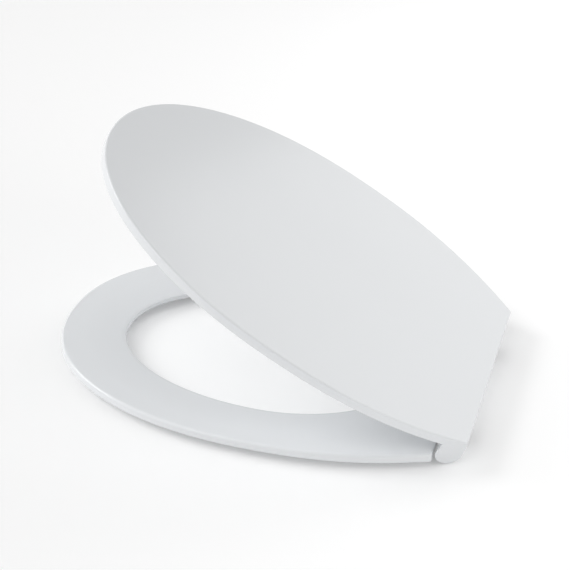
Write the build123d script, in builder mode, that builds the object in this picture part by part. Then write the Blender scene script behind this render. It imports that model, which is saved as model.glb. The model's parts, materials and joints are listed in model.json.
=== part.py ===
import os
from math import cos, hypot, radians, sin

from build123d import *

os.makedirs("parts", exist_ok=True)

# Driving dimensions, in millimetres and degrees. X runs along the hinge, the seat's front faces -Y
# and Z is up. The origin lies midway between the two fixing studs, on the pan's rim.
STUD_SPACING = 155.0
LID_OPEN = 28.6
LID_LENGTH = 440.0
LID_HALF = 176.0
LID_THICK = 9.0
RING_LENGTH = 407.0
RING_HALF = 173.0
RING_THICK = 8.6
BARREL_R = 12.0

# Clearances.
PAN_GAP = 1.2
SLOT = 2.4
LID_GAP = 5.75
SIDE_GAP = 0.4
SWING_GAP = 0.5
RUN = 0.05
STOP_GAP = 0.35

# Outlines. The rear half narrows by a power curve and the front half is a superellipse.
REAR_POWER = 2.32
REAR_STEPS = 4
FRONT_STEPS = 6
LID_WIDEST = 199.1
LID_REAR_HALF = 121.6
LID_FRONT_POWER = 2.08
RING_WIDEST = 166.0
RING_REAR_HALF = 137.5
RING_FRONT_POWER = 2.14

# Lid section.
LID_REAR_EDGE = 8.3
LID_CAMBER = 1.45
LID_ROUND = 1.8
RIM_WIDTH = 15.0
RECESS_SETBACK = 24.0
RECESS_CORNER = 14.0
RECESS_DEPTH = 3.0

# Ring section, oval hole and the dish round it.
RING_TOP_ROUND = 3.0
RING_BOTTOM_BEVEL = 1.4
RING_CORNER = 5.0
FRONT_BAND = 67.3
HOLE_HALF = 111.0
HOLE_FRONT = 164.5
HOLE_REAR = 134.9
HOLE_ROUND = 1.6
HOLE_BEVEL = 1.2
DISH_DEPTH = 4.2
DISH_REACH = 44.0
DISH_REAR_SHARE = 0.62
DISH_POWER = 1.7
DISH_STEPS = 5

# Hinge pieces.
BLOCK_WIDTH = 25.0
BLOCK_STEP = 0.5
BLOCK_BEVEL = 0.6
BOSS_Z = 2.4
BOSS_WALL = 1.6
SLEEVE_BORE_R = 4.1
SLEEVE_WALL = 1.1
SLEEVE_LENGTH = 18.0
LUG_LENGTH = 29.6
LUG_STEP = 0.8
GUSSET_Y = 8.0
GUSSET_HALF = 2.8
SEAT_DEPTH = 6.5
PIN_R = 4.0
PIN_REACH = 20.0
KEY = 4.2
BUSH_WALL = 2.4
BUSH_LENGTH = 22.0
DAMPER_LENGTH = 26.5
DAMPER_WALL = 1.75
DAMPER_FLOOR = 3.0
FIN_HEIGHT = 1.55
FIN_WIDTH = 2.4
CAP_THICK = 2.0
SHAFT_R = 3.0
MOUTH = 0.6

# Buffers.
PAD_LENGTH = 34.0
PAD_WIDTH = 14.0
PAD_BEVEL = 1.5
PAD_STEM_R = 4.0
PAD_STEM = 4.0
FRONT_PAD_INSET = 73.0
FRONT_PAD_SETBACK = 91.4
FRONT_PAD_TURN = 40.0
REAR_PAD_INSET = 59.0
REAR_PAD_SETBACK = 63.6
REAR_PAD_TURN = -62.0
STOP_INSET = 22.0
STOP_FORWARD = 59.2
STOP_R = 7.0
STOP_STEM_R = 3.5
STOP_STEM = 3.0

# Places along and around the hinge axis.
STUD_X = STUD_SPACING / 2
AXIS_Z = BARREL_R + PAN_GAP
BLOCK_IN = STUD_X - BLOCK_WIDTH / 2
BLOCK_OUT = STUD_X + BLOCK_WIDTH / 2
LUG_OUT = BLOCK_IN - SIDE_GAP
LUG_IN = LUG_OUT - LUG_LENGTH
CUT_IN = LUG_IN - SIDE_GAP
CUT_OUT = BLOCK_OUT + SIDE_GAP
BLOCK_R = BARREL_R - BLOCK_STEP
LUG_R = BARREL_R - LUG_STEP
SLEEVE_R = SLEEVE_BORE_R + SLEEVE_WALL
SOCKET_TOP = SLEEVE_LENGTH + SIDE_GAP
BUSH_R = PIN_R + RUN + BUSH_WALL
BORE_R = BUSH_R + RUN
HOLLOW_R = BUSH_R - DAMPER_WALL
HOLLOW_LENGTH = DAMPER_LENGTH - DAMPER_FLOOR
FIN_SPAN = 2 * (BUSH_R + FIN_HEIGHT)
LUG_POCKET_R = LUG_R + SWING_GAP
BLOCK_POCKET_R = hypot(SLEEVE_R, AXIS_Z) + SWING_GAP

# Places on the ring and on the shut lid. Lid heights are measured from the hinge axis.
RING_BOTTOM = AXIS_Z - RING_THICK / 2
RING_TOP = AXIS_Z + RING_THICK / 2
RING_REAR_Y = -BARREL_R - SLOT
RING_WIDEST_Y = RING_REAR_Y - RING_WIDEST
RING_FRONT_Y = RING_REAR_Y - RING_LENGTH
HOLE_Y = RING_FRONT_Y + FRONT_BAND + HOLE_FRONT
LID_REAR_Y = BARREL_R + SIDE_GAP
LID_WIDEST_Y = LID_REAR_EDGE - LID_WIDEST
LID_FRONT_Y = LID_REAR_EDGE - LID_LENGTH
LID_MIDDLE_Y = LID_REAR_EDGE - LID_LENGTH / 2
LID_PROFILE_Y = LID_FRONT_Y - SLOT
LID_UNDER = RING_THICK / 2 + LID_GAP
LID_TOP = LID_UNDER + LID_THICK
RECESS_TOP = LID_UNDER + RECESS_DEPTH
RECESS_REAR_Y = -BARREL_R - RECESS_SETBACK
STOP_X = LID_HALF - RIM_WIDTH - STOP_INSET
STOP_Y = LID_WIDEST_Y - STOP_FORWARD
STOP_FOOT = RING_THICK / 2 + STOP_GAP
FRONT_PAD_X = RING_HALF - FRONT_PAD_INSET
FRONT_PAD_Y = RING_FRONT_Y + FRONT_PAD_SETBACK
REAR_PAD_X = RING_HALF - REAR_PAD_INSET
REAR_PAD_Y = RING_REAR_Y - REAR_PAD_SETBACK
SIDES = ((-1, "left"), (1, "right"))
PADS = (
    ("front", FRONT_PAD_X, FRONT_PAD_Y, FRONT_PAD_TURN),
    ("rear", REAR_PAD_X, REAR_PAD_Y, REAR_PAD_TURN),
)

TILT = radians(LID_OPEN)
HINGE = (0, 0, AXIS_Z)
LID_BACKWARD = (0, cos(TILT), -sin(TILT))
LID_UPWARD = (0, sin(TILT), cos(TILT))
LID_HEIGHT = Axis(HINGE, LID_UPWARD)


def rear_half(half, half_rear, y, y_widest, y_rear):
    """Half width of an outline at a place behind its widest line."""
    return half - (half - half_rear) * ((y - y_widest) / (y_rear - y_widest)) ** REAR_POWER


def across(x):
    """Plane square to the hinge axis, level with the ring."""
    return Plane(origin=(x, 0, AXIS_Z), x_dir=(0, 1, 0), z_dir=(1, 0, 0))


def lid_across(x):
    """Plane square to the hinge axis, turned with the lid."""
    return Plane(origin=(x, 0, AXIS_Z), x_dir=LID_BACKWARD, z_dir=(1, 0, 0))


def on_lid(x, y, height):
    """Plane parallel to the lid at a point of the shut lid."""
    spot = Vector(x, 0, AXIS_Z) + Vector(LID_BACKWARD) * y + Vector(LID_UPWARD) * height
    return Plane(origin=spot, x_dir=(1, 0, 0), z_dir=LID_UPWARD)


def level(x, y, height, turn=0.0):
    """Level plane at a point, turned about the vertical."""
    return Plane(origin=(x, y, height), x_dir=(cos(radians(turn)), sin(radians(turn)), 0), z_dir=(0, 0, 1))


def plan(plane, half, half_rear, y_rear, y_widest, y_front, power, corner=0.0):
    """Face of a seat outline, from the right rear corner round the front to the left rear corner."""
    right = []
    for step in range(REAR_STEPS, 0, -1):
        y = y_widest + (y_rear - y_widest) * step / REAR_STEPS
        right.append((rear_half(half, half_rear, y, y_widest, y_rear), y))
    for step in range(FRONT_STEPS):
        turn = radians(90 * step / FRONT_STEPS)
        x = half * cos(turn) ** (2 / power)
        right.append((x, y_widest + (y_front - y_widest) * sin(turn) ** (2 / power)))
    left = [(-x, y) for x, y in reversed(right)]
    with BuildSketch(plane) as face:
        with BuildLine():
            Spline(*right, (0, y_front), *left)
            Line(left[-1], right[0])
        make_face()
        if corner:
            fillet(face.vertices().sort_by(Axis.Y)[-2:], corner)
    return face.sketch


def oval(height, grow, grow_rear):
    """Face of the ring's hole at a height, grown outwards."""
    with BuildSketch(level(0, HOLE_Y, height)) as face:
        with BuildLine():
            EllipticalCenterArc((0, 0), HOLE_HALF + grow, HOLE_REAR + grow_rear, 0, arc_size=180)
            EllipticalCenterArc((0, 0), HOLE_HALF + grow, HOLE_FRONT + grow, 180, arc_size=180)
        make_face()
    return face.sketch


LID_PLAN = plan(
    on_lid(0, 0, -2 * BARREL_R),
    LID_HALF,
    LID_REAR_HALF,
    LID_REAR_Y,
    LID_WIDEST_Y,
    LID_FRONT_Y,
    LID_FRONT_POWER,
)
RECESS_PLAN = plan(
    on_lid(0, 0, RECESS_TOP),
    LID_HALF - RIM_WIDTH,
    rear_half(LID_HALF, LID_REAR_HALF, RECESS_REAR_Y, LID_WIDEST_Y, LID_REAR_Y) - RIM_WIDTH,
    RECESS_REAR_Y,
    LID_WIDEST_Y,
    LID_FRONT_Y + RIM_WIDTH,
    LID_FRONT_POWER,
    RECESS_CORNER,
)
RING_PLAN = plan(
    level(0, 0, RING_BOTTOM),
    RING_HALF,
    RING_REAR_HALF,
    RING_REAR_Y,
    RING_WIDEST_Y,
    RING_FRONT_Y,
    RING_FRONT_POWER,
    RING_CORNER,
)

# Lid: plate and hinge barrel in one moulding, with a gap in the barrel for each hinge.
with BuildPart() as lid:
    extrude(LID_PLAN, amount=2 * BARREL_R + LID_TOP + LID_THICK)
    with BuildSketch(lid_across(0)):
        with BuildLine():
            ThreePointArc(
                (LID_REAR_EDGE, LID_TOP), (LID_MIDDLE_Y, LID_TOP + LID_CAMBER), (LID_PROFILE_Y, LID_TOP)
            )
            Line((LID_PROFILE_Y, LID_TOP), (LID_PROFILE_Y, LID_UNDER))
            ThreePointArc(
                (LID_PROFILE_Y, LID_UNDER), (LID_MIDDLE_Y, LID_UNDER + LID_CAMBER), (-BARREL_R, LID_UNDER)
            )
            Line((-BARREL_R, LID_UNDER), (-BARREL_R, 0))
            ThreePointArc((-BARREL_R, 0), (0, -BARREL_R), (BARREL_R, 0))
            Line((BARREL_R, 0), (LID_REAR_EDGE, LID_TOP))
        make_face()
    extrude(amount=LID_LENGTH, both=True, mode=Mode.INTERSECT)
    fillet(lid.faces().sort_by(LID_HEIGHT)[-1].edges(), LID_ROUND)
    extrude(RECESS_PLAN, amount=-2 * RECESS_DEPTH, mode=Mode.SUBTRACT)
    for near, far in ((CUT_IN, CUT_OUT), (-CUT_OUT, -CUT_IN)):
        with BuildSketch(lid_across(near)):
            Circle(LUG_POCKET_R)
            with Locations((0, LID_UNDER - 2 * BARREL_R)):
                Rectangle(4 * BARREL_R, 4 * BARREL_R)
        extrude(amount=far - near, mode=Mode.SUBTRACT)
    for near, far in ((LUG_OUT, CUT_OUT), (-CUT_OUT, -LUG_OUT)):
        with BuildSketch(lid_across(near)):
            Circle(BLOCK_POCKET_R)
        extrude(amount=far - near, mode=Mode.SUBTRACT)
    with BuildSketch(lid_across(CUT_OUT)):
        Circle(BORE_R)
        Rectangle(FIN_SPAN + 2 * RUN, FIN_WIDTH + 2 * RUN)
    extrude(amount=DAMPER_LENGTH + 2 * MOUTH, mode=Mode.SUBTRACT)
    with BuildSketch(lid_across(-CUT_OUT)):
        Circle(BORE_R)
    extrude(amount=-BUSH_LENGTH - MOUTH, mode=Mode.SUBTRACT)
    for side, hand in SIDES:
        with BuildSketch(on_lid(side * STOP_X, STOP_Y, RECESS_TOP)):
            Circle(STOP_STEM_R + RUN)
        extrude(amount=STOP_STEM + RUN, mode=Mode.SUBTRACT)
lid.part.label = "lid"
export_step(lid.part, "parts/lid.step")

# Ring: oval hole, dished top and a hinge lug behind each half in one moulding.
with BuildPart() as ring:
    extrude(RING_PLAN, amount=RING_THICK)
    fillet(ring.faces().sort_by(Axis.Z)[-1].edges(), RING_TOP_ROUND)
    chamfer(ring.faces().sort_by(Axis.Z)[0].edges(), RING_BOTTOM_BEVEL)
    dish = []
    for step in range(DISH_STEPS + 1):
        share = step / DISH_STEPS
        height = RING_TOP + RUN - DISH_DEPTH * (1 - share) ** DISH_POWER
        dish.append(oval(height, DISH_REACH * share, DISH_REAR_SHARE * DISH_REACH * share))
    loft(dish, mode=Mode.SUBTRACT)
    extrude(oval(RING_BOTTOM, 0, 0), amount=RING_THICK, mode=Mode.SUBTRACT)
    long_edges = ring.edges().filter_by(lambda edge: edge.length > HOLE_HALF)
    hole_edges = long_edges.filter_by(lambda edge: edge.bounding_box().max.X < HOLE_HALF + RUN)
    fillet(hole_edges.group_by(Axis.Z)[-1], HOLE_ROUND)
    under_hole = [oval(RING_BOTTOM, HOLE_BEVEL, HOLE_BEVEL), oval(RING_BOTTOM + HOLE_BEVEL, 0, 0)]
    loft(under_hole, mode=Mode.SUBTRACT)
    gusset_top = (LUG_R**2 - GUSSET_Y**2) ** 0.5
    for near, far in ((LUG_IN, LUG_OUT), (-LUG_OUT, -LUG_IN)):
        with BuildSketch(across(near)):
            Circle(LUG_R)
            with BuildLine():
                Polyline(
                    (-GUSSET_Y, gusset_top),
                    (RING_REAR_Y, GUSSET_HALF),
                    (RING_REAR_Y - RING_CORNER, GUSSET_HALF),
                    (RING_REAR_Y - RING_CORNER, -GUSSET_HALF),
                    (RING_REAR_Y, -GUSSET_HALF),
                    (-GUSSET_Y, -gusset_top),
                    close=True,
                )
            make_face()
        extrude(amount=far - near)
    with BuildSketch(across(-LUG_OUT)):
        Circle(BORE_R)
        Rectangle(FIN_SPAN + 2 * RUN, FIN_WIDTH + 2 * RUN)
    extrude(amount=DAMPER_LENGTH + 2 * MOUTH, mode=Mode.SUBTRACT)
    with BuildSketch(across(LUG_OUT)):
        Circle(BORE_R)
    extrude(amount=-BUSH_LENGTH - MOUTH, mode=Mode.SUBTRACT)
    for place, x, y, turn in PADS:
        for side, hand in SIDES:
            with BuildSketch(level(side * x, y, RING_BOTTOM)):
                Circle(PAD_STEM_R + RUN)
            extrude(amount=PAD_STEM + RUN, mode=Mode.SUBTRACT)
ring.part.label = "ring"
export_step(ring.part, "parts/ring.step")

# Buffers under the lid. They stop just short of the ring when the lid is shut.
for side, hand in SIDES:
    with BuildPart() as lid_buffer:
        with BuildSketch(on_lid(side * STOP_X, STOP_Y, STOP_FOOT)):
            Circle(STOP_R)
        extrude(amount=RECESS_TOP - STOP_FOOT)
        chamfer(lid_buffer.faces().sort_by(LID_HEIGHT)[0].edges(), PAD_BEVEL)
        with BuildSketch(on_lid(side * STOP_X, STOP_Y, RECESS_TOP)):
            Circle(STOP_STEM_R)
        extrude(amount=STOP_STEM)
    lid_buffer.part.label = f"lid_buffer_{hand}"
    export_step(lid_buffer.part, f"parts/lid_buffer_{hand}.step")

# Buffers under the ring, pushed into blind holes by their stems.
for place, x, y, turn in PADS:
    for side, hand in SIDES:
        with BuildPart() as ring_buffer:
            with BuildSketch(level(side * x, y, 0, side * turn)):
                SlotOverall(PAD_LENGTH, PAD_WIDTH)
            extrude(amount=RING_BOTTOM)
            chamfer(ring_buffer.faces().sort_by(Axis.Z)[0].edges(), PAD_BEVEL)
            with BuildSketch(level(side * x, y, RING_BOTTOM)):
                Circle(PAD_STEM_R)
            extrude(amount=PAD_STEM)
        ring_buffer.part.label = f"ring_buffer_{place}_{hand}"
        export_step(ring_buffer.part, f"parts/ring_buffer_{place}_{hand}.step")

# Hinge blocks: a pin hole in one face, a square key hole in the other and a stud socket from below.
for side, hand in SIDES:
    low_face = min(side * BLOCK_IN, side * BLOCK_OUT)
    with BuildPart() as hinge_block:
        with BuildSketch(across(low_face)):
            Circle(BLOCK_R)
        extrude(amount=BLOCK_WIDTH)
        chamfer(hinge_block.edges().filter_by(GeomType.CIRCLE), BLOCK_BEVEL)
        with BuildSketch(level(side * STUD_X, 0, BOSS_Z)):
            Circle(SLEEVE_R + BOSS_WALL)
        extrude(amount=AXIS_Z - BOSS_Z)
        with BuildSketch(level(side * STUD_X, 0, 0)):
            Circle(SLEEVE_R)
        extrude(amount=SOCKET_TOP, mode=Mode.SUBTRACT)
        with BuildSketch(across(low_face)):
            Circle(PIN_R)
        extrude(amount=SEAT_DEPTH, mode=Mode.SUBTRACT)
        with BuildSketch(across(low_face + BLOCK_WIDTH)):
            Rectangle(KEY, KEY)
        extrude(amount=-SEAT_DEPTH, mode=Mode.SUBTRACT)
    hinge_block.part.label = f"hinge_block_{hand}"
    export_step(hinge_block.part, f"parts/hinge_block_{hand}.step")

# Sleeves that line the sockets and grip the studs. Their lower ends stand on the pan.
for side, hand in SIDES:
    with BuildPart() as stud_sleeve:
        with BuildSketch(level(side * STUD_X, 0, 0)):
            Circle(SLEEVE_R)
            Circle(SLEEVE_BORE_R, mode=Mode.SUBTRACT)
        extrude(amount=SLEEVE_LENGTH)
    stud_sleeve.part.label = f"stud_sleeve_{hand}"
    export_step(stud_sleeve.part, f"parts/stud_sleeve_{hand}.step")

# Dampers: the lid's in its right barrel end, the ring's in its left lug. Two fins hold each body.
for owner, seat_x, mouth_x, square in (
    ("lid", BLOCK_OUT, CUT_OUT + MOUTH, lid_across),
    ("ring", -BLOCK_IN, -LUG_OUT + MOUTH, across),
):
    vane_x = mouth_x + CAP_THICK + SIDE_GAP
    with BuildPart() as damper_body:
        with BuildSketch(square(mouth_x)):
            Circle(BUSH_R)
            Rectangle(FIN_SPAN, FIN_WIDTH)
        extrude(amount=DAMPER_LENGTH)
        with BuildSketch(square(mouth_x)):
            Circle(HOLLOW_R)
        extrude(amount=HOLLOW_LENGTH, mode=Mode.SUBTRACT)
    damper_body.part.label = f"{owner}_damper_body"
    export_step(damper_body.part, f"parts/{owner}_damper_body.step")

    with BuildPart() as damper_cap:
        with BuildSketch(square(mouth_x)):
            Circle(HOLLOW_R)
            Circle(SHAFT_R + RUN, mode=Mode.SUBTRACT)
        extrude(amount=CAP_THICK)
    damper_cap.part.label = f"{owner}_damper_cap"
    export_step(damper_cap.part, f"parts/{owner}_damper_cap.step")

    with BuildPart() as damper_rotor:
        with BuildSketch(across(seat_x - SEAT_DEPTH)):
            Rectangle(KEY, KEY)
        extrude(amount=SEAT_DEPTH)
        with BuildSketch(across(seat_x)):
            Circle(SHAFT_R)
        extrude(amount=vane_x - seat_x)
        with BuildSketch(across(vane_x)):
            Circle(HOLLOW_R - RUN)
        extrude(amount=HOLLOW_LENGTH - CAP_THICK - 2 * SIDE_GAP)
    damper_rotor.part.label = f"{owner}_damper_rotor"
    export_step(damper_rotor.part, f"parts/{owner}_damper_rotor.step")

# Plain pivots on the sides without a damper. The pins stay in the blocks and turn in the bushes.
for owner, seat_x, mouth_x in (("lid", -BLOCK_OUT, -CUT_OUT), ("ring", BLOCK_IN, LUG_OUT)):
    with BuildPart() as pivot_pin:
        with BuildSketch(across(seat_x + SEAT_DEPTH)):
            Circle(PIN_R)
        extrude(amount=-SEAT_DEPTH - PIN_REACH)
        chamfer(pivot_pin.edges().sort_by(Axis.X)[0], BLOCK_BEVEL)
    pivot_pin.part.label = f"{owner}_pivot_pin"
    export_step(pivot_pin.part, f"parts/{owner}_pivot_pin.step")

    with BuildPart() as pivot_bush:
        with BuildSketch(across(mouth_x)):
            Circle(BUSH_R)
            Circle(PIN_R + RUN, mode=Mode.SUBTRACT)
        extrude(amount=-BUSH_LENGTH)
    pivot_bush.part.label = f"{owner}_pivot_bush"
    export_step(pivot_bush.part, f"parts/{owner}_pivot_bush.step")
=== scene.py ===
import json
from math import atan2, cos, hypot, pi, radians, sin, sqrt

import bmesh
import bpy
from mathutils import Matrix, Vector

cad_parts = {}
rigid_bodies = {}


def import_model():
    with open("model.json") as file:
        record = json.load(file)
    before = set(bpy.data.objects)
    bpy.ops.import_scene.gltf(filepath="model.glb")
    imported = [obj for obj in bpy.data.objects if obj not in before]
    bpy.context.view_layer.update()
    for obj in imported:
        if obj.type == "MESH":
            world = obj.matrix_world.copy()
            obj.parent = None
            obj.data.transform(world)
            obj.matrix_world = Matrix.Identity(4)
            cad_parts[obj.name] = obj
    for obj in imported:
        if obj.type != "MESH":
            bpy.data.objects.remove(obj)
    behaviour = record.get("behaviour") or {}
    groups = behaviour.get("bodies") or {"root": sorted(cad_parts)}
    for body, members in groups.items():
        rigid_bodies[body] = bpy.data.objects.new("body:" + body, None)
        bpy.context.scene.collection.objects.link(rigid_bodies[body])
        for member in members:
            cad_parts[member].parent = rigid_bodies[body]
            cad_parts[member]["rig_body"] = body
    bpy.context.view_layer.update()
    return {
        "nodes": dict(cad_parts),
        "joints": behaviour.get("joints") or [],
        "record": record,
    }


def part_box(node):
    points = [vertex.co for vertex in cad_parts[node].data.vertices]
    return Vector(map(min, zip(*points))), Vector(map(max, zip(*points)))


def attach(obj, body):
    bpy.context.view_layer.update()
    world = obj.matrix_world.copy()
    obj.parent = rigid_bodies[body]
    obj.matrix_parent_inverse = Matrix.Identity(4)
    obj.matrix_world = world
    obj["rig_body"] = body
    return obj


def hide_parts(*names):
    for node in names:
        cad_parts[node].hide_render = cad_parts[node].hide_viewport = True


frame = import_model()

# Sizes in metres. X runs along the hinge, the front faces -Y and Z is up. Lid and ring are drawn about
# the hinge axis, the lid shut, and then put in their place, the lid swung open.
LID_HINGE = next(joint for joint in frame["joints"] if joint["name"] == "lid_hinge")
AXIS = Vector(LID_HINGE["pos_m"])
LID_OPEN = radians(-LID_HINGE["range_deg"][0])

# Lid, with heights from the axis.
BARREL_R = 0.0120
LID_TOP = 0.01905
LID_UNDER = 0.01005
LID_FRONT = -0.4317
LID_REAR_EDGE = 0.0083
LID_MIDDLE = (LID_REAR_EDGE + LID_FRONT) / 2
LID_CAMBER = 0.00145
LID_ROUND = 0.0018
LID_BEVEL = 0.0007
RECESS_TOP = 0.01305
RECESS_RIM = 0.0150
RECESS_CORNER = 0.0140

# Ring, with heights from the floor. Its edges are rounded less along the rear.
RING_BOTTOM = 0.0089
RING_TOP = 0.0175
RING_ROUND = 0.0030
RING_BEVEL = 0.0014
RING_CORNER = 0.0032
REAR_ROUND = 0.0014
REAR_BEVEL = 0.0005
REAR_FADE = 0.0160
HOLE_Y = -0.1896
HOLE_HALF = 0.1110
HOLE_FRONT = 0.1673
HOLE_REAR = 0.1349
HOLE_ROUND = 0.0016
HOLE_BEVEL = 0.0012
DISH_DEPTH = 0.00415
DISH_REACH = 0.0440
DISH_REAR_SHARE = 0.62
DISH_POWER = 1.7

# Hinge: places along the axis, the ring's lugs, and what is cut for blocks, dampers and bushes.
BLOCK_IN = 0.0650
BLOCK_OUT = 0.0900
SIDE_GAP = 0.0004
LUG_LENGTH = 0.0296
LUG_OUT = BLOCK_IN - SIDE_GAP
LUG_IN = LUG_OUT - LUG_LENGTH
CUT_IN = LUG_IN - SIDE_GAP
CUT_OUT = BLOCK_OUT + SIDE_GAP
LUG_R = 0.0112
LUG_ROUND = 0.0006
LUG_POCKET_R = 0.0117
BLOCK_POCKET_R = 0.0147
GUSSET_Y = 0.0080
GUSSET_HALF = 0.0028
BORE_R = 0.0065
DAMPER_BORE = 0.0277
BUSH_BORE = 0.0226
FIN_SPAN = 0.0161
FIN_WIDTH = 0.0025

# Rubber buffers: long pads under the ring, turned by degrees, and round stops under the lid.
PAD_LENGTH = 0.0340
PAD_WIDTH = 0.0140
PAD_ROUND = 0.0025
PAD_STEM_R = 0.0040
PAD_STEM = 0.0040
PAD_TURNS = {"front_left": -40, "front_right": 40, "rear_left": 62, "rear_right": -62}
STOP_X = 0.1390
STOP_Y = -0.2500
STOP_FOOT = 0.00465
STOP_R = 0.0070
STOP_ROUND = 0.0020
STOP_STEM_R = 0.0035
STOP_STEM = 0.0030
STEM_GAP = 0.00005
FOOT_HOLLOW = 0.0003
# Where a foot's flat rim ends and where its hollow is full, in roundings from the edge.
FOOT_RIM = 1.3
FOOT_INNER = 2

# Points along a quarter of the front, a side, the rear edge, a corner, rounded edges and bevels.
FRONT_STEPS = 72
SIDE_STEPS = 44
REAR_STEPS = 28
CORNER_STEPS = 10
ROUND_STEPS = 7
RING_ROUND_STEPS = 9
LUG_ROUND_STEPS = 4
BEVEL_STEPS = 3
# Points across the dish and the lid's underside, and in half a turn.
DISH_STEPS = 26
UNDER_STEPS = 16
TURN_STEPS = 48

# Loops across the lid's top and across a flat end, as shares of the outline.
TOP_SHARES = (0.08, 0.3, 0.55, 0.8)
END_SHARE = 0.5
# Width of the narrow band that keeps a flat face flat beside its rounded edge.
EDGE_SUPPORT = 0.0012
# Points this close are one point.
SAME = 0.000001
# Distance too small to see.
CLOSE = 0.00002
# Step that keeps the end of a cut clear of the wall beside it.
LEDGE = 0.00005
# Least spacing of points before edges are rounded, and least turn of an edge that is rounded.
MERGE = 0.0003
SHARP = radians(50)
# Degrees up to which an edge is shaded smooth.
MOULDING_SMOOTH = 32
BUFFER_SMOOTH = 40
HINGE_SMOOTH = 30

# How steeply the sides of an outline close towards the rear.
REAR_POWER = 2.32
# Search for the place where a corner meets the side: its start and nudge in radii, and its rounds.
SEARCH_START = 4
SEARCH_NUDGE = 0.01
SEARCH_ROUNDS = 40


class Shape:
    """Outline of the lid, the ring or the lid's recess, seen from above."""

    def __init__(self, half, half_rear, rear, widest, front, power):
        self.half = half
        self.half_rear = half_rear
        self.rear = rear
        self.widest = widest
        self.front = front
        self.power = power

    def side(self, y):
        """Half width behind the widest line."""
        share = (y - self.widest) / (self.rear - self.widest)
        return self.half - (self.half - self.half_rear) * share**REAR_POWER

    def corner_centre(self, edge, radius):
        """Centre of the arc from the rear edge to the right side.
        With it come the side's lean and its y where the arc ends."""
        low, high = edge - SEARCH_START * radius, edge
        nudge = SEARCH_NUDGE * radius
        for _ in range(SEARCH_ROUNDS):
            y = (low + high) / 2
            slope = (self.side(y) - self.side(y - nudge)) / nudge
            lean = atan2(-slope, 1)
            if y - radius * sin(lean) > edge - radius:
                high = y
            else:
                low = y
        return self.side(y) - radius * cos(lean), edge - radius, lean, y

    def points(self, edge, corner=0.0):
        """Points from the right rear corner along the side, round the front and back to the corner."""
        right = []
        start = edge
        steps = SIDE_STEPS + CORNER_STEPS
        if corner:
            steps = SIDE_STEPS
            x, y, lean, start = self.corner_centre(edge, corner)
            for step in range(CORNER_STEPS):
                turn = pi / 2 + (lean - pi / 2) * step / CORNER_STEPS
                right.append((x + corner * cos(turn), y + corner * sin(turn)))
        for step in range(steps):
            y = start + (self.widest - start) * step / steps
            right.append((self.side(y), y))
        for step in range(FRONT_STEPS):
            turn = pi / 2 * step / FRONT_STEPS
            across = self.half * cos(turn) ** (2 / self.power)
            along = sin(turn) ** (2 / self.power)
            right.append((across, self.widest + (self.front - self.widest) * along))
        left = [(-x, y) for x, y in reversed(right)]
        reach = right[0][0]
        rear = [(reach * (2 * step / REAR_STEPS - 1), edge) for step in range(1, REAR_STEPS)]
        return right + [(0.0, self.front)] + left + rear


LID = Shape(half=0.1760, half_rear=0.1216, rear=0.0124, widest=-0.1908, front=LID_FRONT, power=2.08)
RECESS = Shape(
    half=LID.half - RECESS_RIM,
    half_rear=0.1302,
    rear=-0.0360,
    widest=LID.widest,
    front=LID.front + RECESS_RIM,
    power=LID.power,
)
RING = Shape(half=0.1730, half_rear=0.1386, rear=-0.0144, widest=-0.1804, front=-0.4214, power=2.14)


def inward(points, reach):
    """The same outline, moved inwards by one distance, or by a distance for each point."""
    reaches = reach if isinstance(reach, list) else [reach] * len(points)
    moved = []
    for number, (x, y) in enumerate(points):
        before = Vector(points[number - 1])
        after = Vector(points[(number + 1) % len(points)])
        here = Vector((x, y))
        first = (here - before).normalized()
        second = (after - here).normalized()
        normal = Vector((first.y + second.y, -first.x - second.x)) / (1 + first.dot(second))
        moved.append(tuple(here + normal * reaches[number]))
    return moved


def shrunk(points, share):
    """The same outline, drawn in towards the middle of the lid."""
    return [(x * share, LID_MIDDLE + (y - LID_MIDDLE) * share) for x, y in points]


def flat(points, height):
    """An outline at one height."""
    return [(x, y, height) for x, y in points]


def round_over(count):
    """Shares of a quarter round, from the flat to the wall: how far in and how far down."""
    for step in range(count + 1):
        turn = pi / 2 * step / count
        yield 1 - sin(turn), 1 - cos(turn)


def middle_of(node):
    """Middle of a solid's box."""
    low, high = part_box(node)
    return (low + high) / 2


def deselect():
    bpy.ops.object.select_all(action="DESELECT")


def pick(piece):
    """Makes one piece the only selected and active one."""
    deselect()
    piece.select_set(True)
    bpy.context.view_layer.objects.active = piece


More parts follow.
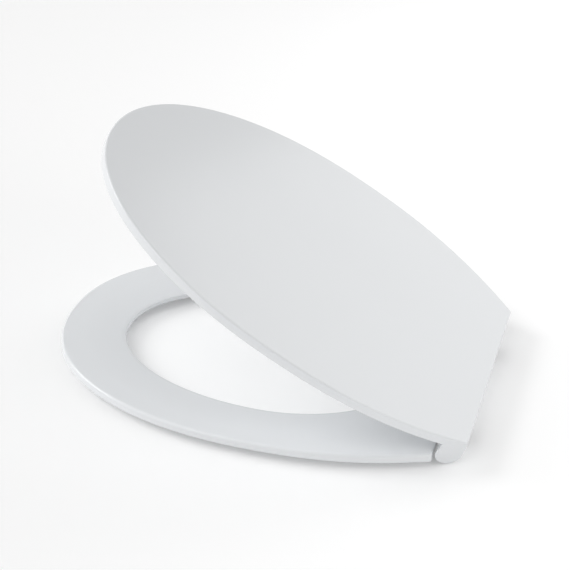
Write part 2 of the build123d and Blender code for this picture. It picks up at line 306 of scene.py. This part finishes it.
def loft(name, loops, closed):
    """Skin through loops of points: a circle is added and its rim is extruded from loop to loop.
    A closed skin comes back to its first loop, and an open one is drawn together at both ends."""
    deselect()
    fill = "NOTHING" if closed else "TRIFAN"
    bpy.ops.mesh.primitive_circle_add(vertices=len(loops[0]), radius=1, fill_type=fill)
    piece = bpy.context.object
    piece.name = piece.data.name = name
    bpy.ops.object.mode_set(mode="EDIT")
    bpy.ops.mesh.select_mode(type="EDGE")
    mesh = bmesh.from_edit_mesh(piece.data)
    rim = [vertex for vertex in mesh.verts if vertex.co.length > CLOSE]
    rim.sort(key=lambda vertex: atan2(vertex.co.y, vertex.co.x))
    middle = sum((Vector(point) for point in loops[0]), Vector()) / len(loops[0])
    for vertex in mesh.verts:
        vertex.co = middle
    for vertex, point in zip(rim, loops[0]):
        vertex.co = point
    for loop in loops[1:] + (loops[:1] if closed else []):
        bpy.ops.mesh.select_all(action="DESELECT")
        for vertex, following in zip(rim, rim[1:] + rim[:1]):
            mesh.edges.get((vertex, following)).select_set(True)
        bpy.ops.mesh.extrude_edges_move()
        mesh = bmesh.from_edit_mesh(piece.data)
        rim = [
            next(edge.other_vert(vertex) for edge in vertex.link_edges if edge.other_vert(vertex).select)
            for vertex in rim
        ]
        for vertex, point in zip(rim, loop):
            vertex.co = point
    if not closed:
        bpy.ops.mesh.merge(type="CENTER")
    bpy.ops.mesh.select_all(action="SELECT")
    bpy.ops.mesh.remove_doubles(threshold=SAME)
    bpy.ops.mesh.normals_make_consistent(inside=False)
    bpy.ops.object.mode_set(mode="OBJECT")
    return piece


def slab(name, profile, start, end):
    """Side view drawn as one face across the hinge axis and extruded along the axis."""
    deselect()
    bpy.ops.mesh.primitive_circle_add(vertices=len(profile), radius=1, fill_type="NGON")
    piece = bpy.context.object
    piece.name = piece.data.name = name
    bpy.ops.object.mode_set(mode="EDIT")
    mesh = bmesh.from_edit_mesh(piece.data)
    rim = sorted(mesh.verts, key=lambda vertex: atan2(vertex.co.y, vertex.co.x))
    for vertex, (y, z) in zip(rim, profile):
        vertex.co = (start, y, z)
    bpy.ops.mesh.select_all(action="SELECT")
    bpy.ops.mesh.extrude_region_move(TRANSFORM_OT_translate={"value": (end - start, 0, 0)})
    bpy.ops.mesh.select_all(action="SELECT")
    bpy.ops.mesh.normals_make_consistent(inside=False)
    bpy.ops.object.mode_set(mode="OBJECT")
    return piece


def cylinder(length, radius, middle, lean):
    """Plain round cutter, upright or leaned over towards X."""
    deselect()
    bpy.ops.mesh.primitive_cylinder_add(
        vertices=2 * TURN_STEPS, radius=radius, depth=length, location=middle, rotation=(0, lean, 0)
    )
    bpy.ops.object.transform_apply()
    return bpy.context.object


def rod(start, end, radius):
    """Round cutter along the hinge axis."""
    return cylinder(abs(end - start), radius, ((start + end) / 2, 0, 0), pi / 2)


def post(x, y, bottom, top, radius):
    """Round cutter, upright."""
    return cylinder(top - bottom, radius, (x, y, (bottom + top) / 2), 0)


def bar(start, end, width, height):
    """Rectangular cutter along the hinge axis."""
    deselect()
    bpy.ops.mesh.primitive_cube_add(size=1, location=((start + end) / 2, 0, 0))
    bpy.context.object.scale = (abs(end - start), width, height)
    bpy.ops.object.transform_apply()
    return bpy.context.object


def carve(piece, tool, operation):
    """Joins a tool to a piece, cuts it out or keeps what they share, and removes the tool."""
    pick(piece)
    modifier = piece.modifiers.new("carve", "BOOLEAN")
    modifier.operation = operation
    modifier.object = tool
    modifier.solver = "EXACT"
    bpy.ops.object.modifier_apply(modifier=modifier.name)
    bpy.data.objects.remove(tool)


def round_edges(piece, width):
    """Merges points that are too close and rounds every sharp outer edge of a piece."""
    pick(piece)
    bpy.ops.object.mode_set(mode="EDIT")
    bpy.ops.mesh.select_mode(type="EDGE")
    bpy.ops.mesh.select_all(action="SELECT")
    bpy.ops.mesh.remove_doubles(threshold=MERGE)
    bpy.ops.mesh.select_all(action="DESELECT")
    mesh = bmesh.from_edit_mesh(piece.data)
    for edge in mesh.edges:
        if edge.is_convex and edge.calc_face_angle() > SHARP:
            edge.select_set(True)
    bpy.ops.mesh.bevel(offset=width, segments=BEVEL_STEPS, affect="EDGES", loop_slide=False)
    bpy.ops.object.mode_set(mode="OBJECT")


def drop_slivers(piece):
    """Removes edges and faces that are too small to see, and what they leave loose."""
    pick(piece)
    bpy.ops.object.mode_set(mode="EDIT")
    bpy.ops.mesh.select_all(action="SELECT")
    bpy.ops.mesh.dissolve_degenerate(threshold=CLOSE)
    bpy.ops.mesh.select_all(action="SELECT")
    bpy.ops.mesh.delete_loose(use_verts=True, use_edges=True, use_faces=False)
    bpy.ops.object.mode_set(mode="OBJECT")


def place(piece, turn):
    """Moves a piece from the hinge axis to its place, turned about the axis."""
    pick(piece)
    piece.matrix_world = Matrix.Translation(AXIS) @ Matrix.Rotation(-turn, 4, "X")
    bpy.ops.object.transform_apply()


def smooth(piece, degrees):
    """Smooth shading, with the flats kept flat beside rounded edges."""
    pick(piece)
    bpy.ops.object.shade_smooth_by_angle(angle=radians(degrees))
    weighted = piece.modifiers.new("flats", "WEIGHTED_NORMAL")
    weighted.keep_sharp = True
    bpy.ops.object.modifier_apply(modifier=weighted.name)


def camber(y):
    """Rise of the lid above a flat plate."""
    return LID_CAMBER * (1 - ((y - LID_MIDDLE) / (LID_REAR_EDGE - LID_MIDDLE)) ** 2)


def rear_slant(height):
    """Rear face of the lid, leaning from the barrel to the top edge."""
    return BARREL_R + (LID_REAR_EDGE - BARREL_R) * height / LID_TOP


def lid_block():
    """Tall block with the lid's outline, cambered on top and rounded along the top edge."""

    def level(points, height):
        return [(x, y, height + camber(y)) for x, y in points]

    top = inward(LID.points(LID_REAR_EDGE), LID_ROUND)
    loops = [level(shrunk(top, share), LID_TOP) for share in TOP_SHARES]
    loops.append(level(inward(top, EDGE_SUPPORT), LID_TOP))
    for inset, drop in round_over(ROUND_STEPS):
        height = LID_TOP - LID_ROUND * drop
        loops.append(level(inward(LID.points(rear_slant(height)), LID_ROUND * inset), height))
    foot = -2 * BARREL_R
    wall = LID.points(rear_slant(foot) - CLOSE)
    loops += [flat(wall, foot), flat(shrunk(wall, END_SHARE), foot)]
    return loft("lid_moulding", loops, closed=False)


def lid_section():
    """Side view of the plate's cambered underside and the barrel, half round below the axis."""
    turns = [pi * step / TURN_STEPS for step in range(TURN_STEPS + 1)]
    half_round = [(BARREL_R * cos(turn), -BARREL_R * sin(turn)) for turn in turns]
    ahead, behind, above = LID_FRONT - BARREL_R, 2 * BARREL_R, 2 * LID_TOP
    under = []
    for step in range(UNDER_STEPS + 1):
        y = -BARREL_R + (ahead + BARREL_R) * step / UNDER_STEPS
        under.append((y, LID_UNDER + camber(y)))
    return half_round + under + [(ahead, above), (behind, above), (behind, 0)]


def recess_tool():
    """Cutter for the shallow recess under the lid."""
    mouth = RECESS.points(RECESS.rear, RECESS_CORNER)
    ceiling = inward(mouth, LID_BEVEL)
    loops = [
        flat(shrunk(mouth, END_SHARE), 0),
        flat(mouth, 0),
        flat(ceiling, RECESS_TOP),
        flat(shrunk(ceiling, END_SHARE), RECESS_TOP),
    ]
    return loft("recess", loops, closed=False)


def make_lid():
    """Plate and barrel in one, with a gap in the barrel for each hinge, pockets and bores."""
    lid = lid_block()
    carve(lid, slab("section", lid_section(), -2 * LID.half, 2 * LID.half), "INTERSECT")
    carve(lid, recess_tool(), "DIFFERENCE")
    ceiling = LID_UNDER + camber(-BARREL_R)
    reach = 2 * BARREL_R
    gap = [(-reach, ceiling), (reach, ceiling), (reach, -reach), (-reach, -reach)]
    for side in (-1, 1):
        carve(lid, slab("gap", gap, side * CUT_IN, side * CUT_OUT), "DIFFERENCE")
    round_edges(lid, LID_BEVEL)
    for side in (-1, 1):
        pocket = rod(side * (CUT_IN + LEDGE), side * (CUT_OUT - 2 * LEDGE), LUG_POCKET_R)
        carve(lid, pocket, "DIFFERENCE")
        carve(lid, rod(side * LUG_OUT, side * (CUT_OUT - LEDGE), BLOCK_POCKET_R), "DIFFERENCE")
    carve(lid, rod(CUT_OUT - SIDE_GAP, CUT_OUT + DAMPER_BORE, BORE_R), "DIFFERENCE")
    fin_slot = bar(CUT_OUT - SIDE_GAP, CUT_OUT + DAMPER_BORE - LEDGE, FIN_SPAN, FIN_WIDTH)
    carve(lid, fin_slot, "DIFFERENCE")
    carve(lid, rod(SIDE_GAP - CUT_OUT, -CUT_OUT - BUSH_BORE, BORE_R), "DIFFERENCE")
    hole_end = RECESS_TOP + STOP_STEM + STEM_GAP
    for side in (-1, 1):
        hole = post(side * STOP_X, STOP_Y, LID_UNDER, hole_end, STOP_STEM_R + STEM_GAP)
        carve(lid, hole, "DIFFERENCE")
    drop_slivers(lid)
    place(lid, LID_OPEN)
    smooth(lid, MOULDING_SMOOTH)
    return lid


def oval(outer, grow, grow_rear):
    """The hole's oval, grown, with a point on the line from its centre to each point of an outline."""
    points = []
    for x, y in outer:
        turn = atan2(y - HOLE_Y, x)
        along = HOLE_REAR + grow_rear if sin(turn) > 0 else HOLE_FRONT + grow
        reach = 1 / hypot(cos(turn) / (HOLE_HALF + grow), sin(turn) / along)
        points.append((reach * cos(turn), HOLE_Y + reach * sin(turn)))
    return points


def rear_share(y):
    """How near a point of the ring is to its rear edge, from 0 to 1."""
    share = min(max((y - RING.rear + RING_CORNER) / REAR_FADE + 1, 0), 1)
    return share * share * (3 - 2 * share)


def ring_body():
    """Oval ring: edges rounded less along the rear, flat top falling into a dish, rounded hole edge."""

    def level(points, height):
        return flat(points, height - AXIS.z)

    def edge(widths, inset, height, rise):
        moved = inward(outer, [inset * width for width in widths])
        return [(x, y, height + rise * width - AXIS.z) for (x, y), width in zip(moved, widths)]

    outer = RING.points(RING.rear, RING_CORNER)
    top = [RING_ROUND + (REAR_ROUND - RING_ROUND) * rear_share(y) for x, y in outer]
    bottom = [RING_BEVEL + (REAR_BEVEL - RING_BEVEL) * rear_share(y) for x, y in outer]
    loops = []
    for inset, drop in round_over(RING_ROUND_STEPS):
        loops.append(edge(top, inset, RING_TOP, -drop))
    for inset, drop in reversed(list(round_over(BEVEL_STEPS))):
        loops.append(edge(bottom, inset, RING_BOTTOM, drop))
    loops.append(level(inward(outer, [width + EDGE_SUPPORT for width in bottom]), RING_BOTTOM))
    for inset, drop in round_over(BEVEL_STEPS):
        grow = HOLE_BEVEL * inset
        loops.append(level(oval(outer, grow, grow), RING_BOTTOM + HOLE_BEVEL * drop))
    hole_top = RING_TOP - DISH_DEPTH
    for inset, drop in reversed(list(round_over(ROUND_STEPS))):
        grow = HOLE_ROUND * inset
        loops.append(level(oval(outer, grow, grow), hole_top - HOLE_ROUND * drop))
    for step in range(1, DISH_STEPS + 1):
        share = HOLE_ROUND / DISH_REACH + (1 - HOLE_ROUND / DISH_REACH) * step / DISH_STEPS
        height = RING_TOP - DISH_DEPTH * (1 - share) ** DISH_POWER
        grow = DISH_REACH * share
        loops.append(level(oval(outer, grow, DISH_REAR_SHARE * grow), height))
    loops.append(level(inward(outer, [width + EDGE_SUPPORT for width in top]), RING_TOP))
    return loft("ring_moulding", loops, closed=True)


def lug_profile():
    """Round lug with a gusset that runs into the ring's rear edge, seen along the axis."""
    begin = atan2(sqrt(LUG_R**2 - GUSSET_Y**2), -GUSSET_Y)
    turns = [begin * (1 - step / TURN_STEPS) for step in range(2 * TURN_STEPS + 1)]
    rounded = [(LUG_R * cos(turn), LUG_R * sin(turn)) for turn in turns]
    root = RING.rear - REAR_FADE / 2
    return rounded + [
        (RING.rear, -GUSSET_HALF),
        (root, -GUSSET_HALF),
        (root, GUSSET_HALF),
        (RING.rear, GUSSET_HALF),
    ]


def make_lug(start, end):
    """Hinge lug with its ends rounded."""
    profile = lug_profile()
    inner = inward(profile, LUG_ROUND)
    loops = []
    for side, reach in ((-1, start), (1, end)):
        rounds = []
        for inset, drop in round_over(LUG_ROUND_STEPS):
            x = reach - side * LUG_ROUND * drop
            rounds.append([
                (x, y + (inner_y - y) * inset, z + (inner_z - z) * inset)
                for (y, z), (inner_y, inner_z) in zip(profile, inner)
            ])
        loops += rounds if side < 0 else rounds[::-1]
    return loft("lug", loops, closed=False)


def make_ring():
    """Ring and its two hinge lugs, bored for the damper and the bush."""
    ring = ring_body()
    for start, end in ((-LUG_OUT, -LUG_IN), (LUG_IN, LUG_OUT)):
        carve(ring, make_lug(start, end), "UNION")
    carve(ring, rod(-LUG_OUT - SIDE_GAP, DAMPER_BORE - LUG_OUT, BORE_R), "DIFFERENCE")
    fin_slot = bar(-LUG_OUT - SIDE_GAP, DAMPER_BORE - LUG_OUT - LEDGE, FIN_SPAN, FIN_WIDTH)
    carve(ring, fin_slot, "DIFFERENCE")
    carve(ring, rod(LUG_OUT + SIDE_GAP, LUG_OUT - BUSH_BORE, BORE_R), "DIFFERENCE")
    place(ring, 0)
    hole_end = RING_BOTTOM + PAD_STEM + STEM_GAP
    for spot in PAD_TURNS:
        centre = middle_of(f"ring_buffer_{spot}")
        carve(ring, post(centre.x, centre.y, 0, hole_end, PAD_STEM_R + STEM_GAP), "DIFFERENCE")
    smooth(ring, MOULDING_SMOOTH)
    return ring


def slot_outline(centre, turn):
    """Long pad with round ends, turned about its middle."""
    points = []
    for end in (1, -1):
        for step in range(TURN_STEPS + 1):
            angle = end * pi / 2 - pi * step / TURN_STEPS
            x = end * (PAD_LENGTH - PAD_WIDTH) / 2 + PAD_WIDTH / 2 * cos(angle)
            y = PAD_WIDTH / 2 * sin(angle)
            across = x * cos(turn) - y * sin(turn)
            along = x * sin(turn) + y * cos(turn)
            points.append((centre.x + across, centre.y + along))
    return points


def round_outline(centre, radius, start, count):
    """Circle with as many points as the outline that it is skinned to."""
    turns = [start - 2 * pi * step / count for step in range(count)]
    return [(centre.x + radius * cos(turn), centre.y + radius * sin(turn)) for turn in turns]


def buffer(name, foot, stem, bottom, seat, stem_top, rounding):
    """Rubber buffer: a foot with a rounded edge and a slightly hollow face, and a stem."""
    loops = [
        flat(inward(foot, FOOT_INNER * rounding), bottom + FOOT_HOLLOW),
        flat(inward(foot, FOOT_RIM * rounding), bottom),
    ]
    for inset, drop in round_over(ROUND_STEPS):
        loops.append(flat(inward(foot, rounding * inset), bottom + rounding * drop))
    loops += [
        flat(foot, seat),
        flat(stem, seat),
        flat(stem, stem_top - FOOT_HOLLOW),
        flat(inward(stem, FOOT_HOLLOW), stem_top),
    ]
    return loft(name, loops, closed=False)


def make_buffers():
    """Four long pads under the ring and two round stops under the lid, by the node each replaces."""
    made = {}
    for spot, degrees in PAD_TURNS.items():
        node = f"ring_buffer_{spot}"
        centre = middle_of(node)
        foot = slot_outline(centre, radians(degrees))
        stem = round_outline(centre, PAD_STEM_R, radians(90 + degrees), len(foot))
        stem_top = RING_BOTTOM + PAD_STEM
        made[node] = buffer(f"{node}_pad", foot, stem, 0.0, RING_BOTTOM, stem_top, PAD_ROUND)
        smooth(made[node], BUFFER_SMOOTH)
    for hand, side in (("left", -1), ("right", 1)):
        node = f"lid_buffer_{hand}"
        centre = Vector((side * STOP_X, STOP_Y))
        foot = round_outline(centre, STOP_R, 0, 2 * TURN_STEPS)
        stem = round_outline(centre, STOP_STEM_R, 0, 2 * TURN_STEPS)
        stem_top = RECESS_TOP + STOP_STEM
        made[node] = buffer(f"{node}_pad", foot, stem, STOP_FOOT, RECESS_TOP, stem_top, STOP_ROUND)
        place(made[node], LID_OPEN)
        smooth(made[node], BUFFER_SMOOTH)
    return made


def smooth_copy(node):
    """Turned or moulded hinge part: a copy of its solid, merged and smoothly shaded."""
    piece = bpy.data.objects.new(f"{node}_part", frame["nodes"][node].data.copy())
    bpy.context.scene.collection.objects.link(piece)
    pick(piece)
    bpy.ops.object.mode_set(mode="EDIT")
    bpy.ops.mesh.select_all(action="SELECT")
    bpy.ops.mesh.remove_doubles(threshold=SAME)
    bpy.ops.object.mode_set(mode="OBJECT")
    smooth(piece, HINGE_SMOOTH)
    return piece


# Numbers of a Mix node's sockets for colours.
MIX_FACTOR = 0
MIX_FIRST = 6
MIX_SECOND = 7
MIX_RESULT = 2


class Value:
    """Output of a shader node. Sums and products with it add Math nodes."""

    def __init__(self, finish, socket):
        self.finish = finish
        self.socket = socket

    def maths(self, operation, other):
        return self.finish.node("ShaderNodeMath", {"operation": operation}, {0: self, 1: other})

    def __add__(self, other):
        return self.maths("ADD", other)

    def __mul__(self, other):
        return self.maths("MULTIPLY", other)

    __radd__ = __add__
    __rmul__ = __mul__


class Finish:
    """One material and its nodes."""

    def __init__(self, name):
        self.material = bpy.data.materials.new(name)
        self.material.use_nodes = True
        self.tree = self.material.node_tree
        self.shader = self.tree.nodes["Principled BSDF"]

    def node(self, kind, settings, values, output=0):
        """Adds a node: its settings first, then the values or links of its sockets."""
        made = self.tree.nodes.new(kind)
        for name, setting in settings.items():
            setattr(made, name, setting)
        for name, value in values.items():
            self.feed(made.inputs[name], value)
        return Value(self, made.outputs[output])

    def feed(self, socket, value):
        if isinstance(value, Value):
            self.tree.links.new(value.socket, socket)
        else:
            socket.default_value = value

    def surface(self, **values):
        """Sets the shader's sockets, named in small letters with underscores."""
        for name, value in values.items():
            self.feed(self.shader.inputs[name.replace("_", " ").title()], value)

    def noise(self, scale, stretch=(1, 1, 1), detail=2.0):
        """Cloudy pattern on the piece's own coordinates, from 0 to 1 about 0.5."""
        where = self.node("ShaderNodeTexCoord", {}, {}, "Object")
        turned = self.node("ShaderNodeMapping", {}, {"Vector": where, "Scale": stretch})
        return self.node("ShaderNodeTexNoise", {}, {"Vector": turned, "Scale": scale, "Detail": detail})

    def blend(self, factor, first, second):
        """Colour between two colours."""
        settings = {"data_type": "RGBA"}
        values = {MIX_FACTOR: factor, MIX_FIRST: (*first, 1), MIX_SECOND: (*second, 1)}
        return self.node("ShaderNodeMix", settings, values, MIX_RESULT)

    def bump(self, height, depth):
        """Relief of a given depth in metres."""
        return self.node("ShaderNodeBump", {}, {"Height": height, "Distance": depth, "Strength": 1.0})


# Darker and lighter shade of each finish.
SEAT_SHADES = (0.770, 0.785, 0.800), (0.788, 0.803, 0.817)
RUBBER_SHADES = (0.68, 0.685, 0.68), (0.76, 0.765, 0.755)
BLOCK_SHADES = (0.50, 0.51, 0.52), (0.66, 0.67, 0.68)
PIN_SHADES = (0.44, 0.45, 0.46), (0.60, 0.61, 0.62)
DAMPER_SHADES = (0.030, 0.031, 0.033), (0.050, 0.051, 0.054)
BUSH_SHADES = (0.68, 0.68, 0.64), (0.74, 0.74, 0.71)

# Fineness of each pattern, in waves to the metre, and the detail of two of them.
SEAT_CLOUD = 7.0
SEAT_POLISH = 60.0
SEAT_RIPPLE = 420.0
RUBBER_MOTTLE = 180.0
MOTTLE_DETAIL = 4.0
RUBBER_GRAIN = 2600.0
METAL_LINES = 90.0
LINES_DETAIL = 6.0
PLASTIC_CLOUD = 120.0
PLASTIC_GRAIN = 3200.0

# Stretch of the lines in metal, small along them and large across them.
LINES_ALONG_AXIS = (0.4, 22, 22)
LINES_ROUND_AXIS = (22, 0.4, 0.4)

# Least roughness of each finish, and what its pattern adds.
SEAT_ROUGH = 0.17
SEAT_ROUGH_MORE = 0.07
RUBBER_ROUGH = 0.52
RUBBER_ROUGH_MORE = 0.12
BLOCK_ROUGH = 0.22
PIN_ROUGH = 0.18
METAL_ROUGH_MORE = 0.14
DAMPER_ROUGH = 0.46
BUSH_ROUGH = 0.36
PLASTIC_ROUGH_MORE = 0.1

# Depth of each relief in metres.
RIPPLE_DEPTH = 0.000004
RUBBER_DEPTH = 0.00003
LINES_DEPTH = 0.00001
PLASTIC_DEPTH = 0.00002


def seat_white():
    """Pressed thermoset: a clear even white with a polished skin and a trace of mould ripple."""
    finish = Finish("seat_white")
    cloud = finish.noise(SEAT_CLOUD)
    polish = finish.noise(SEAT_POLISH)
    ripple = finish.noise(SEAT_RIPPLE)
    finish.surface(
        base_color=finish.blend(cloud, *SEAT_SHADES),
        roughness=SEAT_ROUGH + SEAT_ROUGH_MORE * polish,
        normal=finish.bump(ripple, RIPPLE_DEPTH),
    )
    return finish.material


def soft_rubber():
    """Pale rubber: matt, faintly mottled, with a dusty grain."""
    finish = Finish("buffer")
    mottle = finish.noise(RUBBER_MOTTLE, detail=MOTTLE_DETAIL)
    grain = finish.noise(RUBBER_GRAIN)
    finish.surface(
        base_color=finish.blend(mottle, *RUBBER_SHADES),
        roughness=RUBBER_ROUGH + RUBBER_ROUGH_MORE * mottle,
        normal=finish.bump(grain, RUBBER_DEPTH),
    )
    return finish.material


def brushed_metal(name, shades, stretch, roughness):
    """Metal with fine lines."""
    finish = Finish(name)
    lines = finish.noise(METAL_LINES, stretch, LINES_DETAIL)
    finish.surface(
        metallic=1.0,
        base_color=finish.blend(lines, *shades),
        roughness=roughness + METAL_ROUGH_MORE * lines,
        normal=finish.bump(lines, LINES_DEPTH),
    )
    return finish.material


def moulded_plastic(name, shades, roughness):
    """Matt moulded plastic with a spark-eroded grain."""
    finish = Finish(name)
    cloud = finish.noise(PLASTIC_CLOUD)
    grain = finish.noise(PLASTIC_GRAIN)
    finish.surface(
        base_color=finish.blend(cloud, *shades),
        roughness=roughness + PLASTIC_ROUGH_MORE * grain,
        normal=finish.bump(grain, PLASTIC_DEPTH),
    )
    return finish.material


FINISHES = {
    "seat_white": seat_white(),
    "buffer": soft_rubber(),
    "hinge_metal": brushed_metal("hinge_metal", BLOCK_SHADES, LINES_ALONG_AXIS, BLOCK_ROUGH),
    "pin_steel": brushed_metal("pin_steel", PIN_SHADES, LINES_ROUND_AXIS, PIN_ROUGH),
    "damper_plastic": moulded_plastic("damper_plastic", DAMPER_SHADES, DAMPER_ROUGH),
    "bush_plastic": moulded_plastic("bush_plastic", BUSH_SHADES, BUSH_ROUGH),
}

pieces = {"lid": make_lid(), "ring": make_ring(), **make_buffers()}
for subpart in frame["record"]["subparts"]:
    node = subpart["node"]
    slot = subpart["material_slot"]
    piece = pieces.get(node) or smooth_copy(node)
    piece.data.materials.clear()
    piece.data.materials.append(FINISHES[slot])
    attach(piece, frame["nodes"][node]["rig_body"])
    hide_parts(node)

# Stage: a plain pale floor, soft light and a camera at the photograph's angle.
EYE = Vector((1.50246, 0.18683, 0.99706))
TARGET = Vector((0.0, -0.19510, 0.08745))
ROLL = radians(2.16)
LENS = 114.95
SENSOR = 36.0
WHITE = (1, 1, 1, 1)
FLOOR_SIZE = 40.0
FLOOR_PAINT = (0.9, 0.9, 0.9, 1)
FLOOR_ROUGH = 0.9
FLOOR_GLOW = 0.12
WORLD_GLOW = 0.47
LIT_POINT = Vector((0.0, -0.2, 0.1))
# Name, azimuth, elevation and spread in degrees, and strength of each far light.
FAR_LIGHTS = (
    ("front", 0, 30, 34, 1.28),
    ("front_near", 45, 30, 34, 0.22),
    ("front_low", 315, 11, 30, 0.16),
    ("rear_low", 225, 11, 30, 0.20),
    ("high_near", 60, 55, 34, 0.42),
)
FAR_DISTANCE = 4.0
# Name, kind, azimuth, elevation, distance and watts of the two lights close to the seat.
GLOBE = ("rear", "POINT", 160, 25, 1.2, 9.5)
GLOBE_RADIUS = 0.4
SOFT_BOX = ("rear_far", "AREA", 240, 22, 1.1, 2.0)
BOX_WIDTH = 0.7


def make_camera():
    camera = bpy.data.objects.new("camera", bpy.data.cameras.new("camera"))
    bpy.context.scene.collection.objects.link(camera)
    camera.data.lens = LENS
    camera.data.sensor_width = SENSOR
    aim = (TARGET - EYE).to_track_quat("-Z", "Y").to_matrix().to_4x4()
    camera.matrix_world = Matrix.Translation(EYE) @ aim @ Matrix.Rotation(ROLL, 4, "Z")
    bpy.context.scene.camera = camera


def make_floor():
    deselect()
    bpy.ops.mesh.primitive_plane_add(size=FLOOR_SIZE)
    floor = bpy.context.object
    floor.name = "floor"
    finish = Finish("floor")
    finish.surface(
        base_color=FLOOR_PAINT,
        roughness=FLOOR_ROUGH,
        emission_color=WHITE,
        emission_strength=FLOOR_GLOW,
    )
    floor.data.materials.append(finish.material)


def make_world():
    world = bpy.data.worlds.new("studio")
    world.use_nodes = True
    background = world.node_tree.nodes["Background"]
    background.inputs["Color"].default_value = WHITE
    background.inputs["Strength"].default_value = WORLD_GLOW
    bpy.context.scene.world = world


def make_light(name, kind, azimuth, elevation, distance, strength):
    """Light that faces the seat. Azimuth 0 is in front and 90 on the right."""
    light = bpy.data.lights.new(name, kind)
    light.energy = strength
    lamp = bpy.data.objects.new(name, light)
    bpy.context.scene.collection.objects.link(lamp)
    turn, lift = radians(azimuth), radians(elevation)
    way = Vector((sin(turn) * cos(lift), -cos(turn) * cos(lift), sin(lift)))
    aim = way.to_track_quat("Z", "Y").to_matrix().to_4x4()
    lamp.matrix_world = Matrix.Translation(LIT_POINT + way * distance) @ aim
    lamp.visible_camera = False
    return light


make_camera()
make_floor()
make_world()
for name, azimuth, elevation, spread, strength in FAR_LIGHTS:
    make_light(name, "SUN", azimuth, elevation, FAR_DISTANCE, strength).angle = radians(spread)
make_light(*GLOBE).shadow_soft_size = GLOBE_RADIUS
make_light(*SOFT_BOX).size = BOX_WIDTH

bpy.context.scene.view_settings.view_transform = "Standard"
